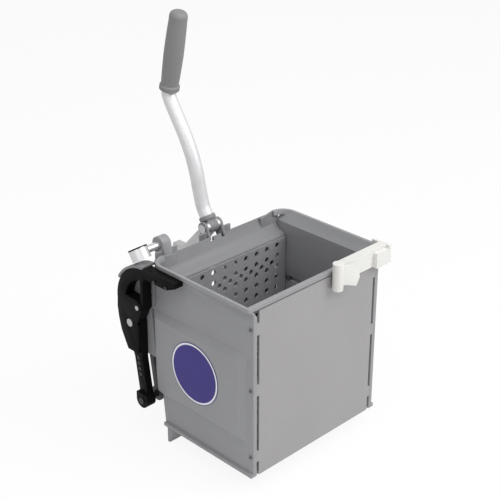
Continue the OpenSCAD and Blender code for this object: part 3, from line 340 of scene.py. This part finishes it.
def sweep(name, path, radius, sides=40):
    """A smooth round tube along points in the side view's plane, closed at both ends."""
    bm = bmesh.new()
    rings = []
    last = len(path) - 1
    for i, p in enumerate(path):
        ahead = (path[min(i + 1, last)] - path[max(i - 1, 0)]).normalized()
        across = Vector((1, 0, 0))
        out = across.cross(ahead)
        rings.append([bm.verts.new(p + radius * (math.cos(a) * across + math.sin(a) * out))
                      for a in (2 * math.pi * k / sides for k in range(sides))])
    for a, b in zip(rings, rings[1:]):
        for k in range(sides):
            bm.faces.new((a[k], a[(k + 1) % sides], b[(k + 1) % sides], b[k]))
    bm.faces.new(list(reversed(rings[0])))
    bm.faces.new(rings[-1])
    bmesh.ops.recalc_face_normals(bm, faces=bm.faces)
    mesh = bpy.data.meshes.new(name)
    bm.to_mesh(mesh)
    bm.free()
    for face in mesh.polygons:
        face.use_smooth = len(face.vertices) == 4
    return mesh


def lean(deg):
    return Vector((0, math.sin(math.radians(deg)), math.cos(math.radians(deg))))


# Lever tube: the CAD route with finer bends. Each stretch has its lean from upright in degrees and its length
PIVOT = at(0, 246, 310)
TUBE_R = 0.012
TUBE_FOOT, FIRST_STEP = 0.0125, 0.0185
LOWER, MIDDLE, UPPER = (32.3, 0.0395), (12.6, 0.0867), (34.1, 0.104)
GRIP_LEAN, GRIP_FOOT, GRIP_STEP, GRIP_TUBE = -12.5, 0.012, 0.003, 0.127
ROUNDINGS = 4

first = lean(LOWER[0])
bend_1 = PIVOT + LOWER[1] * first
bend_2 = bend_1 + MIDDLE[1] * lean(MIDDLE[0])
bend_3 = bend_2 + UPPER[1] * lean(UPPER[0])
grip_up = lean(GRIP_LEAN)
grip_foot = bend_3 + GRIP_FOOT * grip_up
route = [PIVOT + TUBE_FOOT * first, PIVOT + FIRST_STEP * first, bend_1, bend_2, bend_3,
         grip_foot - GRIP_STEP * grip_up, grip_foot, grip_foot + GRIP_TUBE * grip_up]
for _ in range(ROUNDINGS):
    cuts = [q for a, b in zip(route, route[1:]) for q in (a * 0.75 + b * 0.25, a * 0.25 + b * 0.75)]
    route = [route[0]] + cuts + [route[-1]]
link("lever_tube_smooth", sweep("lever_tube_smooth", route, TUBE_R), "lever", "lever_tube")

# Mouldings and plates with eased edges
for node, body, slot, width in (
        ("tub_body", "frame", "tub_plastic", 0.0012),
        ("rear_hood", "frame", "tub_plastic", 0.0006),
        ("cheek_left", "frame", "tub_plastic", 0.0008),
        ("cheek_right", "frame", "tub_plastic", 0.0008),
        ("side_lug", "frame", "tub_plastic", 0.0010),
        ("arch_guard", "frame", "tub_plastic", 0.0008),
        ("side_bracket", "frame", "black_plastic", 0.0012),
        ("hook_arm", "hook", "black_plastic", 0.0012),
        ("handle_clip", "frame", "white_plastic", 0.0012),
        ("inner_strap", "hook", "dark_plastic", 0.0008),
        ("lever_hub", "lever", "tub_plastic", 0.0006),
        ("rear_cover", "frame", "tub_plastic", 0.0004),
        ("drive_tongue", "press", "plate_steel", 0.0008)):
    eased(node, body, width)

# Stage, light and camera
FLOOR_HALF = 6
FLOOR_BELOW = 0.0005
FLOOR_WHITE = 0.90
SKY_LIGHT = 0.42


def stage_finish(name, colour, white):
    """Pale floor, mostly plain white to the camera, so that it meets the backdrop and keeps a soft shadow."""
    f = Finish(name)
    f.feed(Base_Color=colour, Roughness=0.9)
    glow = f.node("ShaderNodeEmission", {}, {"Color": PLAIN_WHITE, "Strength": 1.0})
    f.to_surface(f.node("ShaderNodeMixShader", {}, [f.seen() * white, Shade(f, f.shader.outputs[0]), glow]))
    return f.material


floor_mesh = bpy.data.meshes.new("floor")
floor_mesh.from_pydata([(x * FLOOR_HALF, y * FLOOR_HALF, 0) for x, y in ((-1, -1), (1, -1), (1, 1), (-1, 1))],
                       [], [(0, 1, 2, 3)])
floor_mesh.materials.append(stage_finish("floor_white", PALE_FLOOR, FLOOR_WHITE))
floor = bpy.data.objects.new("floor", floor_mesh)
bpy.context.scene.collection.objects.link(floor)
floor.location.z = cad_box[0].z - FLOOR_BELOW

world = bpy.data.worlds.new("studio")
bpy.context.scene.world = world
world.use_nodes = True
sky = ShaderTree(world.node_tree)
light = sky.node("ShaderNodeBackground", {}, {"Color": PLAIN_WHITE, "Strength": SKY_LIGHT})
backdrop = sky.node("ShaderNodeBackground", {}, {"Color": PLAIN_WHITE, "Strength": 1.0})
sky.to_surface(sky.node("ShaderNodeMixShader", {}, [sky.seen(), light, backdrop]))


def lamp(name, place, aim, size, power):
    data = bpy.data.lights.new(name, "AREA")
    data.size = size
    data.energy = power
    made = bpy.data.objects.new(name, data)
    bpy.context.scene.collection.objects.link(made)
    made.location = place
    made.rotation_euler = (Vector(aim) - Vector(place)).to_track_quat("-Z", "Y").to_euler()


PART_MIDDLE = (0, -0.1, 0.25)
lamp("key", (1.2, -2.2, 2.2), PART_MIDDLE, 1.8, 51)
lamp("fill", (-2.4, -1.0, 1.6), PART_MIDDLE, 2.0, 7)
lamp("top", (-0.6, -0.8, 2.8), (0, 0, 0.3), 2.4, 39)

# Camera fitted to the photo
camera = bpy.data.cameras.new("photo_view")
camera.lens = 85.2
camera.sensor_width = 36.0
camera.clip_end = 50.0
eye = bpy.data.objects.new("photo_view", camera)
bpy.context.scene.collection.objects.link(eye)
eye.location = (-1.2152, -1.2809, 1.1726)
eye.rotation_euler = (math.radians(64.03), 0, math.radians(-44.65))
bpy.context.scene.camera = eye

bpy.context.scene.view_settings.view_transform = "Standard"
